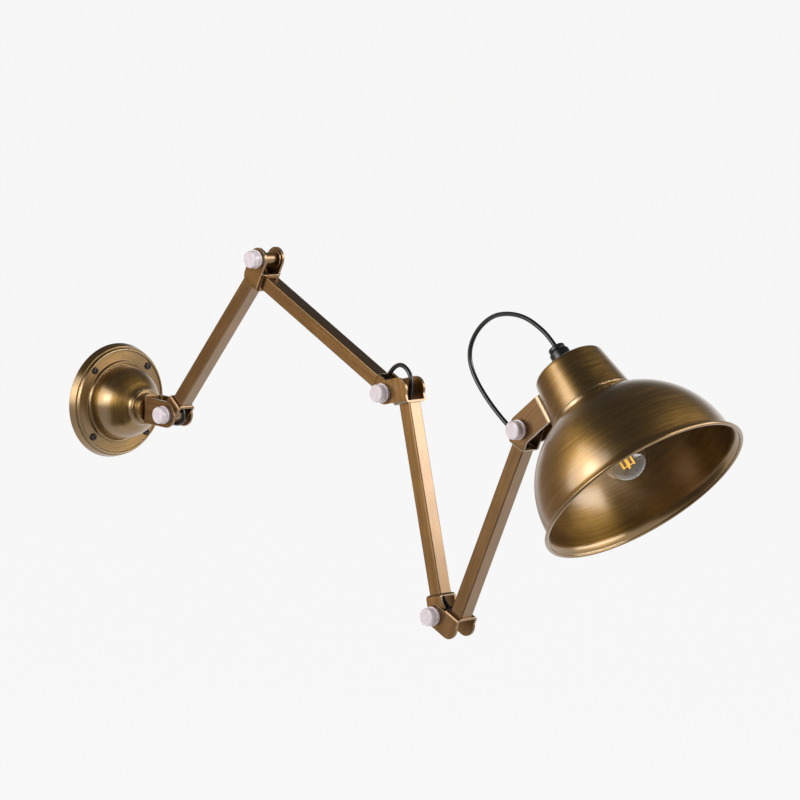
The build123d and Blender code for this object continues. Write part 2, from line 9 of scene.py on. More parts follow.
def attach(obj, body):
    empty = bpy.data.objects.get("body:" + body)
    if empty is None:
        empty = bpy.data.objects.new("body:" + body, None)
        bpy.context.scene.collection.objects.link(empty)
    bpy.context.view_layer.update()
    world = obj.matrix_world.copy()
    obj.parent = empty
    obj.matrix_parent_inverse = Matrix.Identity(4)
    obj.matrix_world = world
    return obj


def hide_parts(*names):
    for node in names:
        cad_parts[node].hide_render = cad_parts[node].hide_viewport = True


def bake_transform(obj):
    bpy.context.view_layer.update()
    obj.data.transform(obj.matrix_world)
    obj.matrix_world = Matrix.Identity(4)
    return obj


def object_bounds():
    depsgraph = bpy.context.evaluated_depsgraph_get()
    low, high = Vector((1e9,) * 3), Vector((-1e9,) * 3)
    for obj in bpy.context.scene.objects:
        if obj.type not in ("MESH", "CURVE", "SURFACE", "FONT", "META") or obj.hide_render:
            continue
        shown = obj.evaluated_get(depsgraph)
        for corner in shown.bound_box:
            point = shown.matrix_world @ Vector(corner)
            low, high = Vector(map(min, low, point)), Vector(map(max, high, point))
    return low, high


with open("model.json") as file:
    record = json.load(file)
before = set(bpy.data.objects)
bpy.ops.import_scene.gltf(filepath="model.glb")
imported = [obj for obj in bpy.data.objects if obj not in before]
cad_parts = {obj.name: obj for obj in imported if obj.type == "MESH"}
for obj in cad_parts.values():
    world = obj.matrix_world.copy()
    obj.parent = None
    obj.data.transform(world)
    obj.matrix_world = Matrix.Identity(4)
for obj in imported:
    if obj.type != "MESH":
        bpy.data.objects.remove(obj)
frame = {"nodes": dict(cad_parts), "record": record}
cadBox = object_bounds()
scene = bpy.context.scene
scene.view_settings.view_transform = "Standard"
print("frame loaded:", len(frame["nodes"]), "pieces")


def mm(value):
    return value / 1000.0


def hexColour(code):  # sRGB hex to linear
    parts = [int(code[i:i + 2], 16) / 255.0 for i in (1, 3, 5)]
    linear = [c / 12.92 if c <= 0.04045 else ((c + 0.055) / 1.055) ** 2.4 for c in parts]
    return (linear[0], linear[1], linear[2], 1.0)


def addNode(tree, kind, settings=None, inputs=None, links=None, stops=None):
    node = tree.nodes.new(kind)
    for key, value in (settings or {}).items():
        setattr(node, key, value)
    for key, value in (inputs or {}).items():
        node.inputs[key].default_value = value
    for key, (source, output) in (links or {}).items():
        tree.links.new(source.outputs[output], node.inputs[key])
    if stops:  # places and colours of a ramp
        ramp = node.color_ramp
        while len(ramp.elements) < len(stops):
            ramp.elements.new(0.5)
        for element, (place, colour) in zip(ramp.elements, stops):
            element.position = place
            element.color = colour
    return node


def emptyMaterial(name):
    material = bpy.data.materials.new(name)
    material.use_nodes = True
    tree = material.node_tree
    tree.nodes.clear()
    return material, tree, addNode(tree, "ShaderNodeOutputMaterial")


def newMaterial(name, sockets):
    material, tree, out = emptyMaterial(name)
    shader = addNode(tree, "ShaderNodeBsdfPrincipled", None, sockets)
    tree.links.new(shader.outputs["BSDF"], out.inputs["Surface"])
    return material, tree, shader


def meshPiece(name, mesh):  # an object at the origin, with its place in its mesh
    data = bpy.data.meshes.new(name)
    mesh.to_mesh(data)
    mesh.free()
    piece = bpy.data.objects.new(name, data)
    scene.collection.objects.link(piece)
    return piece


def dress(material, names):
    for name in names:
        piece = frame["nodes"][name]
        piece.data.materials.clear()
        piece.data.materials.append(material)


def numbered(pattern, count):
    return [pattern % n for n in range(1, count + 1)]


# where things are: pivots from the frame, angles of the arms and of the shade in degrees
pivots = {joint["name"]: Vector(joint["pos_m"]) for joint in frame["record"]["behaviour"]["joints"]}
pivotNames = ["base_pivot", "upper_elbow", "middle_elbow", "lower_elbow", "shade_pivot"]
arms = {"angles": [52.5, -24.4, -73.2, 68.0], "sides": [0, -1, 1, -1], "offset": 21.0}
head = {"tilt": 45.7, "pivotHeight": 135.0, "pivotDistance": 79.6}
headTilt = math.radians(head["tilt"])
headUp = Vector((-math.sin(headTilt), 0, math.cos(headTilt)))
headSide = Vector((headUp.z, 0, -headUp.x))
headPivot = pivots["shade_pivot"]
rimCentre = headPivot - headUp * mm(head["pivotHeight"]) + headSide * mm(head["pivotDistance"])


def armDirection(i):
    angle = math.radians(arms["angles"][i])
    return Vector((math.cos(angle), 0, math.sin(angle)))


# camera, at the photograph's place: place and clipEnd in metres
cameraSetup = {
    "place": (2.5991, -2.0703, 0.5336),
    "right": (0.6901, 0.7224, 0.0428),
    "back": (0.7097, -0.6872, 0.1552),
    "lens": 133.934,
    "sensor": 36.0,
    "clipEnd": 900.0,
}
cameraData = bpy.data.cameras.new("photoCamera")
cameraData.sensor_width = cameraSetup["sensor"]
cameraData.lens = cameraSetup["lens"]
cameraData.clip_end = cameraSetup["clipEnd"]
camera = bpy.data.objects.new("photoCamera", cameraData)
scene.collection.objects.link(camera)
back = Vector(cameraSetup["back"]).normalized()
right = Vector(cameraSetup["right"])
right = (right - back * right.dot(back)).normalized()
turn = Matrix((right, back.cross(right), back)).transposed().to_4x4()
camera.matrix_world = Matrix.Translation(cameraSetup["place"]) @ turn
scene.camera = camera
print("camera set")


# plain finishes with a fine grain: what a finish doesn't say for itself is in grainPlan
grainPlan = {"detail": 3.0, "fading": 0.55, "stops": (0.35, 0.7), "range": (0.3, 0.7), "depth": 0.1,
             "sockets": {}, "pieces": []}
finishes = {
    # extruded PVC: near black and smooth, a soft line of light along the cable
    "blackPvcSheath": {
        "colours": ("#0c0b0c", "#1b191a"), "grain": 3.0, "rough": (0.22, 0.34), "bump": 0.03,
        "detail": 4.0, "fading": 0.6, "stops": (0.3, 0.75), "range": (0.0, 1.0),
        "sockets": {"IOR": 1.53},
        "pieces": ["cable_base", "cable_tail"] + numbered("cable_run_%d", 4)},
    # blackened steel: dark grey metal with small dull glints
    "blackenedSteel": {
        "colours": ("#353130", "#5a5452"), "grain": 0.8, "rough": (0.28, 0.45), "bump": 0.1,
        "sockets": {"Metallic": 1.0},
        "pieces": ["cover_screws"] + numbered("joint_%d_bolt", 5)},
    # zinc plating: pale grey metal, slightly mottled
    "zincPlatedSteel": {
        "colours": ("#8d8d8f", "#b4b4b6"), "grain": 0.8, "rough": (0.25, 0.40), "bump": 0.1,
        "sockets": {"Metallic": 1.0},
        "pieces": ["nose_nipple", "nipple_nuts"] + numbered("joint_%d_nut", 5)},
    # nickel plating: bright, faintly warm metal
    "nickelPlatedBrass": {
        "colours": ("#a8a6a2", "#c9c7c2"), "grain": 1.0, "rough": (0.18, 0.30), "bump": 0.05,
        "sockets": {"Metallic": 1.0},
        "pieces": ["bulb_cap"]},
    # moulded nylon: black with a satin shine on its edges
    "blackNylon": {
        "colours": ("#0b0b0b", "#191818"), "grain": 0.6, "rough": (0.26, 0.42), "bump": 0.15,
        "pieces": ["lampholder"]},
    # moulded polyamide: off white and matt
    "whitePolyamide": {
        "colours": ("#cfcec9", "#e2e1dc"), "grain": 0.7, "rough": (0.40, 0.55), "bump": 0.15,
        "pieces": ["terminal_block"]},
    # phosphor on the filaments: strong yellow, with a painted glow (emission) that keeps it bright
    # inside the shade though the bulb gives no light
    "yellowPhosphorPaintedGlow": {
        "colours": ("#e79a06", "#ffc72e"), "grain": 0.7, "rough": (0.45, 0.60), "bump": 0.2,
        "sockets": {"Emission Color": hexColour("#ffc233"), "Emission Strength": 0.8},
        "pieces": ["bulb_filaments"]},
    # cast acrylic: milky with a lilac cast, glossy, and light goes a little way in
    "milkyLilacAcrylic": {
        "colours": ("#f0e0e6", "#fcf5f7"), "grain": 5.0, "rough": (0.05, 0.12), "bump": 0.03,
        "sockets": {"IOR": 1.49, "Transmission Weight": 0.3}},
}


def makeFinish(name, look):
    look = {**grainPlan, **look}
    material, tree, shader = newMaterial(name, look["sockets"])
    coords = addNode(tree, "ShaderNodeTexCoord")
    grain = addNode(tree, "ShaderNodeTexNoise", None,
                    {"Scale": 1.0 / mm(look["grain"]), "Detail": look["detail"],
                     "Roughness": look["fading"]},
                    {"Vector": (coords, "Object")})
    tone = addNode(tree, "ShaderNodeValToRGB", None, None, {"Fac": (grain, "Fac")},
                   list(zip(look["stops"], map(hexColour, look["colours"]))))
    polish = addNode(tree, "ShaderNodeMapRange", None,
                     {"From Min": look["range"][0], "From Max": look["range"][1],
                      "To Min": look["rough"][0], "To Max": look["rough"][1]},
                     {"Value": (grain, "Fac")})
    bump = addNode(tree, "ShaderNodeBump", None,
                   {"Strength": look["bump"], "Distance": mm(look["depth"])},
                   {"Height": (grain, "Fac")})
    tree.links.new(tone.outputs["Color"], shader.inputs["Base Color"])
    tree.links.new(polish.outputs["Result"], shader.inputs["Roughness"])
    tree.links.new(bump.outputs["Normal"], shader.inputs["Normal"])
    dress(material, look["pieces"])
    return material


made = {name: makeFinish(name, look) for name, look in finishes.items()}

# clear blown soda-lime glass: almost unseen, faintly wavy, bright only at its rim and highlights
glass = {
    "wave": 9.0,
    "detail": 1.0,
    "bump": 0.02,
    "depth": 0.2,
    "sockets": {"Base Color": hexColour("#f4f6f7"), "Roughness": 0.04, "IOR": 1.46,
                "Transmission Weight": 1.0, "Specular IOR Level": 0.4},
}


def makeGlass():
    material, tree, shader = newMaterial("clearBlownGlass", glass["sockets"])
    coords = addNode(tree, "ShaderNodeTexCoord")
    wave = addNode(tree, "ShaderNodeTexNoise", None,
                   {"Scale": 1.0 / mm(glass["wave"]), "Detail": glass["detail"]},
                   {"Vector": (coords, "Object")})
    bump = addNode(tree, "ShaderNodeBump", None,
                   {"Strength": glass["bump"], "Distance": mm(glass["depth"])},
                   {"Height": (wave, "Fac")})
    tree.links.new(bump.outputs["Normal"], shader.inputs["Normal"])
    return material


dress(makeGlass(), ["bulb_glass"])
frame["nodes"]["bulb_glass"].visible_shadow = False
print("plain finishes done")


# slack cable at each joint; reaches run from a pivot to the end of its tube
cable = {
    "diameter": 4.6,
    "inset": 16.0,  # how far inside a tube's end a loop starts
    "sheet": 2.5,
    "tube": 194.0,
    "innerReach": 21.0,
    "outerReach": 15.0,
    "noseEnd": 74.15,  # where the cable leaves the rose
    "gripTop": 173.8,  # where it enters the cord grip, above the shade's rim
    "order": 3,
    "alongSteps": 10,
    "roundSteps": 6,
}
tubeStarts = [cable["outerReach"] if side else cable["innerReach"] for side in arms["sides"]]
tubeHeights = [side * arms["offset"] for side in arms["sides"]]
runStarts = [start - cable["sheet"] + cable["inset"] for start in tubeStarts]
exits = [start + cable["tube"] + cable["sheet"] for start in tubeStarts]
runEnds = [end - cable["inset"] for end in exits]


def armPoint(i, along, across):
    direction = armDirection(i)
    sideways = Vector((-direction.z, 0, direction.x))
    return pivots[pivotNames[i]] + direction * mm(along) + sideways * mm(across)


def nearPivot(i, x, z):
    return pivots[pivotNames[i]] + Vector((mm(x), 0, mm(z)))


def onHead(height):
    return rimCentre + headUp * mm(height)


# route points in mm, the two bodies, and between which points the bend is shared
loops = {
    "cable_loop_1": {
        "route": [
            Vector((mm(cable["noseEnd"]), 0, 0)), nearPivot(0, -22.0, 0.0),
            nearPivot(0, -10.0, -10.6), nearPivot(0, 8.0, -11.2), nearPivot(0, 16.0, -3.0),
            nearPivot(0, 11.4, 11.5), armPoint(0, runStarts[0] - 8.0, 0),
            armPoint(0, runStarts[0], 0)],
        "bodies": ("base", "arm_1"),
        "share": (nearPivot(0, -20.0, 0), nearPivot(0, 9.0, 0))},
    "cable_loop_2": {
        "route": [
            armPoint(0, runEnds[0], 0), armPoint(0, exits[0] + 2.9, 0),
            armPoint(1, runStarts[1] - 6.5, tubeHeights[1]),
            armPoint(1, runStarts[1], tubeHeights[1])],
        "bodies": ("arm_1", "arm_2"),
        "share": (nearPivot(1, -9.5, -13.0), nearPivot(1, 2.0, -21.0))},
    "cable_loop_3": {
        "route": [
            armPoint(1, runEnds[1], tubeHeights[1]), armPoint(1, exits[1] + 3.3, tubeHeights[1]),
            nearPivot(2, -3.0, 24.0), nearPivot(2, 10.0, 30.3), nearPivot(2, 22.5, 23.0),
            nearPivot(2, 26.5, 10.5), armPoint(2, 12.0, tubeHeights[2]),
            armPoint(2, runStarts[2], tubeHeights[2])],
        "bodies": ("arm_2", "arm_3"),
        "share": (nearPivot(2, -11.0, 20.0), nearPivot(2, 20.0, 20.0))},
    "cable_loop_4": {
        "route": [
            armPoint(2, runEnds[2], tubeHeights[2]), armPoint(2, exits[2] + 6.3, tubeHeights[2]),
            armPoint(3, 9.5, -19.5), armPoint(3, runStarts[3] - 6.5, tubeHeights[3]),
            armPoint(3, runStarts[3], tubeHeights[3])],
        "bodies": ("arm_3", "arm_4"),
        "share": (nearPivot(3, -3.0, 10.0), nearPivot(3, 18.0, 3.0))},
    "cable_loop_5": {
        "route": [
            armPoint(3, runEnds[3], tubeHeights[3]), armPoint(3, exits[3] + 3.0, tubeHeights[3]),
            nearPivot(4, -36.0, 2.0), nearPivot(4, -66.0, 25.5), nearPivot(4, -84.0, 47.5),
            nearPivot(4, -87.5, 66.5), nearPivot(4, -78.0, 86.5), nearPivot(4, -59.0, 102.5),
            nearPivot(4, -37.0, 108.2), nearPivot(4, -13.0, 107.2), nearPivot(4, 9.5, 98.0),
            onHead(cable["gripTop"] + 7.0), onHead(cable["gripTop"])],
        "bodies": ("arm_4", "shade_head"),
        "share": (Vector((mm(600.0), 0, mm(68.0))), Vector((mm(645.0), 0, mm(158.0))))},
}


def makeLoop(name, plan):
    curve = bpy.data.curves.new(name + "_route", "CURVE")
    curve.dimensions = "3D"
    spline = curve.splines.new("NURBS")
    spline.points.add(len(plan["route"]) - 1)
    for point, place in zip(spline.points, plan["route"]):
        point.co = (place.x, place.y, place.z, 1.0)
    spline.order_u = cable["order"]
    spline.use_endpoint_u = True
    curve.resolution_u = cable["alongSteps"]
    holder = bpy.data.objects.new(name + "_route", curve)
    scene.collection.objects.link(holder)
    line = bpy.data.meshes.new_from_object(holder)
    curve.bevel_depth = mm(cable["diameter"] / 2)
    curve.bevel_resolution = cable["roundSteps"]
    curve.use_fill_caps = True
    bpy.context.view_layer.update()
    shaped = holder.evaluated_get(bpy.context.evaluated_depsgraph_get())
    tube = bpy.data.meshes.new_from_object(shaped)
    piece = bpy.data.objects.new(name + "_sheath", tube)
    scene.collection.objects.link(piece)
    bpy.data.objects.remove(holder)
    bpy.data.meshes.remove(line)
    for face in tube.polygons:
        face.use_smooth = True
    tube.materials.clear()
    tube.materials.append(made["blackPvcSheath"])
    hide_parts(name)
    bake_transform(piece)


for loopName, loopPlan in loops.items():
    makeLoop(loopName, loopPlan)
print("cables laid")


# brushed antique brass under lacquer: dark warm metal, streaks that follow the wheel or the belt,
# drawn coarser than real scratches so that they show, and edges painted paler: partly wear, partly
# a painted highlight
brass = {
    "streak": {"grain": 1.6, "detail": 5.0, "fading": 0.7},
    "patch": {"grain": 30.0, "detail": 3.0, "fading": 0.5},
    "shares": (0.7, 0.3),  # of streak and patch in the tone
    "stops": (0.34, 0.5, 0.68),
    "ringStretch": 3.0,  # mm of pattern for each radian round the axis
    "lineStretch": 0.02,
    "range": (0.3, 0.7),
    "rough": (0.32, 0.45),
    "bump": 0.12,
    "depth": 0.1,
    "edge": 0.7,
    "edgeSamples": 4,
    # pale colour painted on the edges, by how sharply the face turns there: partly wear, partly a
    # painted highlight
    "edgeWearAndSheenMask": {"From Min": 0.99, "From Max": 0.86, "To Min": 0.0, "To Max": 0.75},
    "edgeWearAndSheen": "#dcc598",
    "lean": (0.03, 0.05, 0.02),  # keeps the scratches' direction off every flat face's own
    "sockets": {"Metallic": 1.0, "Anisotropic Rotation": 0.25,
                "Coat Weight": 1.0, "Coat Roughness": 0.22, "Coat IOR": 1.65},
}
spun = {"rings": True, "colours": ("#735624", "#87662f", "#9d793d"), "brushed": 0.72}
folded = {"rings": False, "colours": ("#6f4f21", "#805c2c", "#966e3b"), "brushed": 0.45}


def makeBrass(name, origin, axis, way):
    sockets = {**brass["sockets"], "Anisotropic": way["brushed"]}
    material, tree, shader = newMaterial(name, sockets)
    axis = Vector(axis).normalized()
    toLocal = axis.rotation_difference(Vector((0, 0, 1)))
    coords = addNode(tree, "ShaderNodeTexCoord")
    local = addNode(tree, "ShaderNodeMapping", None,
                    {"Location": -(toLocal @ Vector(origin)), "Rotation": toLocal.to_euler()},
                    {"Vector": (coords, "Object")})
    # the scratches' own direction, so that a highlight fans out across them
    scratch = addNode(tree, "ShaderNodeVectorTransform",
                      {"vector_type": "VECTOR", "convert_from": "OBJECT", "convert_to": "WORLD"},
                      {"Vector": axis + Vector(brass["lean"])})
    if way["rings"]:  # round the axis
        flat = addNode(tree, "ShaderNodeVectorMath", {"operation": "MULTIPLY"}, {1: (1, 1, 0)},
                       {0: (local, "Vector")})
        radius = addNode(tree, "ShaderNodeVectorMath", {"operation": "LENGTH"}, None,
                         {0: (flat, "Vector")})
        split = addNode(tree, "ShaderNodeSeparateXYZ", None, None, {"Vector": (local, "Vector")})
        angle = addNode(tree, "ShaderNodeMath", {"operation": "ARCTAN2"}, None,
                        {0: (split, "Y"), 1: (split, "X")})
        turnPart = addNode(tree, "ShaderNodeMath", {"operation": "MULTIPLY"},
                           {1: mm(brass["ringStretch"])}, {0: (angle, "Value")})
        streakPlace = addNode(tree, "ShaderNodeCombineXYZ", None, None,
                              {"X": (radius, "Value"), "Y": (split, "Z"),
                               "Z": (turnPart, "Value")})
        reach = addNode(tree, "ShaderNodeVectorMath", {"operation": "SUBTRACT"},
                        {1: Vector(origin)}, {0: (coords, "Object")})
        aroundAxis = addNode(tree, "ShaderNodeVectorMath", {"operation": "CROSS_PRODUCT"},
                             {0: axis}, {1: (reach, "Vector")})
        tree.links.new(aroundAxis.outputs["Vector"], scratch.inputs["Vector"])
    else:  # along the axis
        streakPlace = addNode(tree, "ShaderNodeVectorMath", {"operation": "MULTIPLY"},
                              {1: (1, 1, brass["lineStretch"])}, {0: (local, "Vector")})
    noises = []
    for noise, place in (("streak", (streakPlace, "Vector")), ("patch", (coords, "Object"))):
        pattern = brass[noise]
        noises.append(addNode(tree, "ShaderNodeTexNoise", None,
                              {"Scale": 1.0 / mm(pattern["grain"]), "Detail": pattern["detail"],
                               "Roughness": pattern["fading"]}, {"Vector": place}))
    streak, patch = noises
    patchPart = addNode(tree, "ShaderNodeMath", {"operation": "MULTIPLY"},
                        {1: brass["shares"][1]}, {0: (patch, "Fac")})
    blend = addNode(tree, "ShaderNodeMath", {"operation": "MULTIPLY_ADD"},
                    {1: brass["shares"][0]}, {0: (streak, "Fac"), 2: (patchPart, "Value")})
    tone = addNode(tree, "ShaderNodeValToRGB", None, None, {"Fac": (blend, "Value")},
                   list(zip(brass["stops"], map(hexColour, way["colours"]))))
    polish = addNode(tree, "ShaderNodeMapRange", None,
                     {"From Min": brass["range"][0], "From Max": brass["range"][1],
                      "To Min": brass["rough"][0], "To Max": brass["rough"][1]},
                     {"Value": (streak, "Fac")})
    edge = addNode(tree, "ShaderNodeBevel", {"samples": brass["edgeSamples"]},
                   {"Radius": mm(brass["edge"])})
    bump = addNode(tree, "ShaderNodeBump", None,
                   {"Strength": brass["bump"], "Distance": mm(brass["depth"])},
                   {"Height": (streak, "Fac"), "Normal": (edge, "Normal")})
    # edges painted pale: partly metal where the dark patina has worn off, partly a painted
    # highlight along each edge
    face = addNode(tree, "ShaderNodeNewGeometry")
    square = addNode(tree, "ShaderNodeVectorMath", {"operation": "DOT_PRODUCT"}, None,
                     {0: (edge, "Normal"), 1: (face, "Normal")})
    edgeWearAndSheenMask = addNode(tree, "ShaderNodeMapRange", None, brass["edgeWearAndSheenMask"],
                     {"Value": (square, "Value")})
    edgeWearAndSheen = addNode(tree, "ShaderNodeMix", {"data_type": "RGBA"}, {7: hexColour(brass["edgeWearAndSheen"])},
                   {0: (edgeWearAndSheenMask, "Result"), 6: (tone, "Color")})
    tree.links.new(edgeWearAndSheen.outputs[2], shader.inputs["Base Color"])
    tree.links.new(polish.outputs["Result"], shader.inputs["Roughness"])
    tree.links.new(bump.outputs["Normal"], shader.inputs["Normal"])
    tree.links.new(edge.outputs["Normal"], shader.inputs["Coat Normal"])
    tree.links.new(scratch.outputs["Vector"], shader.inputs["Tangent"])
    return material


roseBrass = makeBrass("spunBrassRose", (0, 0, 0), (1, 0, 0), spun)
dress(roseBrass, ["wall_pan", "nose_collar"])
dress(makeBrass("foldedBrassClevis", (0, 0, 0), (1, 0, 0), folded), ["base_clevis"])
for i in range(4):
    number = str(i + 1)
    armBrass = makeBrass("brushedBrassArm" + number, pivots[pivotNames[i]], armDirection(i), folded)
    dress(armBrass, ["arm_" + number + part for part in ("_tube", "_near_bracket", "_far_bracket")])
sleeveBrass = makeBrass("turnedBrassSleeve", (0, 0, 0), (0, 1, 0), folded)
dress(sleeveBrass, numbered("joint_%d_sleeve", 5))
shadeBrass = makeBrass("spunBrassShade", rimCentre, headUp, spun)
headBrass = makeBrass("foldedBrassHead", headPivot, headSide, folded)
dress(headBrass, ["shade_bracket", "bracket_rivets"])
print("brass done")


# turned and spun pieces, drawn as half outlines and spun round their own axis
# every plan: radius and height in mm, angles in degrees, an edge's width with its segments
turning = {"weld": 0.01, "sameRing": 0.02, "sharp": 35.0}


def lineTo(mesh, point, radius, height):
    grown = bmesh.ops.extrude_vert_indiv(mesh, verts=[point])
    grown["verts"][0].co = (mm(radius), 0, mm(height))
    return grown["verts"][0]


def arcRound(mesh, point, centre, degrees, steps):  # positive turns from the axis' side upwards
    grown = bmesh.ops.spin(mesh, geom=[point], cent=(mm(centre[0]), 0, mm(centre[1])),
                           axis=(0, -1, 0), dvec=(0, 0, 0), angle=math.radians(degrees),
                           steps=steps, use_merge=False, use_duplicate=False)
    return [item for item in grown["geom_last"] if isinstance(item, bmesh.types.BMVert)][0]


def spinRound(mesh, steps):
    bmesh.ops.spin(mesh, geom=mesh.verts[:] + mesh.edges[:], cent=(0, 0, 0), axis=(0, 0, 1),
                   dvec=(0, 0, 0), angle=2 * math.pi, steps=steps, use_merge=True,
                   use_duplicate=False)
    bmesh.ops.remove_doubles(mesh, verts=mesh.verts, dist=mm(turning["weld"]))
    bmesh.ops.recalc_face_normals(mesh, faces=mesh.faces)


def softenRing(mesh, ring, edge):
    slack = mm(turning["sameRing"])
    found = []
    for line in mesh.edges:
        if all(abs(math.hypot(v.co.x, v.co.y) - mm(ring[0])) < slack
               and abs(v.co.z - mm(ring[1])) < slack for v in line.verts):
            found.append(line)
    bmesh.ops.bevel(mesh, geom=found, offset=mm(edge[0]), offset_type="OFFSET",
                    segments=edge[1], profile=0.5, affect="EDGES", material=-1)


def thicken(mesh, sheet):
    bmesh.ops.recalc_face_normals(mesh, faces=mesh.faces)
    bmesh.ops.solidify(mesh, geom=mesh.faces[:], thickness=mm(sheet))


def placeTurned(mesh, name, origin, axis, material):
    turned = Vector((0, 0, 1)).rotation_difference(Vector(axis)).to_matrix().to_4x4()
    bmesh.ops.transform(mesh, matrix=Matrix.Translation(origin) @ turned, verts=mesh.verts)
    piece = meshPiece(name, mesh)
    for face in piece.data.polygons:
        face.use_smooth = True
    piece.data.set_sharp_from_angle(angle=math.radians(turning["sharp"]))
    piece.data.materials.append(material)
    return piece


def standFor(piece, node, body):
    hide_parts(node)
    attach(piece, body)


# spun shade: conical neck, bead and band at its foot, round bowl, flared mouth with a rolled lip
shadePlan = {
    "hole": 5.2,
    "neckTop": (35.6, 148.8),
    "neckEdge": (4.0, 6),
    "neckFoot": (42.6, 101.4),
    "bead": 0.35,
    "beadDrops": (0.3, 0.9, 1.2),
    "band": (42.1, 96.0),
    "bowlStart": (44.6, 96.0),
    "bowlEdge": (1.2, 3),
    "bowl": {"centre": (5.2, 10.65), "degrees": -65.6, "steps": 28},
    "flare": {"centre": (108.2, 9.94), "degrees": 66.0, "steps": 8},
    "sheet": 1.0,
    "lip": (104.3, 1.3),
    "lipRadius": 1.9,
    "lipSteps": 14,
    "steps": 128,
}


def makeShade(plan):
    mesh = bmesh.new()
    point = mesh.verts.new((mm(plan["hole"]), 0, mm(plan["neckTop"][1])))
    foot, height = plan["neckFoot"]
    bulge = foot + plan["bead"]
    beadTop, beadLow, bandTop = (height - drop for drop in plan["beadDrops"])
    for radius, level in (plan["neckTop"], plan["neckFoot"], (bulge, beadTop), (bulge, beadLow),
                          (plan["band"][0], bandTop), plan["band"], plan["bowlStart"]):
        point = lineTo(mesh, point, radius, level)
    point = arcRound(mesh, point, **plan["bowl"])
    point = arcRound(mesh, point, **plan["flare"])
    spinRound(mesh, plan["steps"])
    softenRing(mesh, plan["neckTop"], plan["neckEdge"])
    softenRing(mesh, plan["bowlStart"], plan["bowlEdge"])
    thicken(mesh, plan["sheet"])
    lip = bmesh.new()
    lipPlace = Matrix.Translation((mm(plan["lip"][0]), 0, mm(plan["lip"][1])))
    bmesh.ops.create_circle(lip, cap_ends=False, segments=plan["lipSteps"],
                            radius=mm(plan["lipRadius"]),
                            matrix=lipPlace @ Matrix.Rotation(math.pi / 2, 4, "X"))
    spinRound(lip, plan["steps"])
    ring = bpy.data.meshes.new("shadeLip")
    lip.to_mesh(ring)
    lip.free()
    mesh.from_mesh(ring)
    bpy.data.meshes.remove(ring)
    return mesh


shade = placeTurned(makeShade(shadePlan), "spun_shade", rimCentre, headUp, shadeBrass)
standFor(shade, "shade", "shade_head")
print("shade spun")

# cover of the rose: raised lip, flat flange, bead, dome, and a hollow sweep up to the collar
coverPlan = {
    "rim": (60.6, 8.2),
    "lip": ((60.0, 11.2), (59.4, 12.0), (58.4, 12.2), (57.5, 11.6), (57.1, 10.6)),
    "bead": ((46.8, 10.6), (46.1, 13.3), (45.3, 14.2), (44.0, 14.4), (42.9, 13.9), (42.0, 13.1)),
    "dome": {"centre": (0.0, 13.1), "degrees": 56.8, "steps": 22},
    "sweep": ((21.5, 49.7), (20.4, 51.2), (19.8, 53.0)),
    "sheet": 0.6,
    "steps": 128,
}


def makeCover(plan):
    mesh = bmesh.new()
    point = mesh.verts.new((mm(plan["rim"][0]), 0, mm(plan["rim"][1])))
    for radius, height in plan["lip"] + plan["bead"]:
        point = lineTo(mesh, point, radius, height)
    point = arcRound(mesh, point, **plan["dome"])
    for radius, height in plan["sweep"]:
        point = lineTo(mesh, point, radius, height)
    spinRound(mesh, plan["steps"])
    thicken(mesh, plan["sheet"])
    return mesh


cover = placeTurned(makeCover(coverPlan), "spun_cover", (0, 0, 0), (1, 0, 0), roseBrass)
standFor(cover, "wall_cover", "base")
print("rose spun")

# cord grip: round nylon gland in steps (radius, length), with a bore for the cable
gripPlan = {
    "bore": 2.4,
    "stem": (5.0, 121.0, 148.8),
    "collars": ((10.0, 4.6), (8.0, 1.8), (10.0, 11.0), (7.6, 1.4), (8.4, 4.2)),
    "tip": (4.4, 3.4),
    "edge": (0.7, 3),
    "steps": 40,
}


def makeGrip(plan):
    mesh = bmesh.new()
    stem, low, height = plan["stem"]
    start = mesh.verts.new((mm(plan["bore"]), 0, mm(low)))
    point = lineTo(mesh, start, stem, low)
    point = lineTo(mesh, point, stem, height)
    corners = []
    for radius, length in plan["collars"]:
        for level in (height, height + length):
            point = lineTo(mesh, point, radius, level)
            corners.append((radius, level))
        height += length
    point = lineTo(mesh, point, plan["tip"][0], height)
    point = lineTo(mesh, point, plan["tip"][1], cable["gripTop"])
    point = lineTo(mesh, point, plan["bore"], cable["gripTop"])
    mesh.edges.new((point, start))
    spinRound(mesh, plan["steps"])
    for corner in corners[1:]:
        softenRing(mesh, corner, plan["edge"])
    return mesh


grip = placeTurned(makeGrip(gripPlan), "cord_gland", rimCentre, headUp, made["blackNylon"])
standFor(grip, "cord_grip", "shade_head")

# joint caps: narrow foot, rim, and a faintly waisted knob
capPlan = {
    "seat": -13.55,
    "foot": (8.4, 2.8),
    "rim": (10.0, 4.4),
    "waist": 8.8,
    "front": (9.4, 12.2),
    "frontEdge": (2.2, 5),
    "rimEdge": (0.5, 2),
    "steps": 48,
    "bodies": ["base", "arm_2", "arm_3", "arm_4", "shade_head"],
}


def makeCap(plan):
    mesh = bmesh.new()
    footRadius, rimLow = plan["foot"]
    rimRadius, rimHigh = plan["rim"]
    point = mesh.verts.new((mm(footRadius), 0, 0))
    for radius, height in (plan["foot"], (rimRadius, rimLow), plan["rim"],
                           (plan["waist"], rimHigh), plan["front"], (0, plan["front"][1])):
        point = lineTo(mesh, point, radius, height)
    spinRound(mesh, plan["steps"])
    softenRing(mesh, plan["front"], plan["frontEdge"])
    softenRing(mesh, plan["rim"], plan["rimEdge"])
    softenRing(mesh, (rimRadius, rimLow), plan["rimEdge"])
    return mesh


for number, pivotName in enumerate(pivotNames, 1):
    seat = pivots[pivotName] + Vector((0, mm(capPlan["seat"]), 0))
    cap = placeTurned(makeCap(capPlan), "joint_%d_knob" % number, seat, (0, -1, 0),
                      made["milkyLilacAcrylic"])
    standFor(cap, "joint_%d_cap" % number, capPlan["bodies"][number - 1])
print("grip and caps turned")


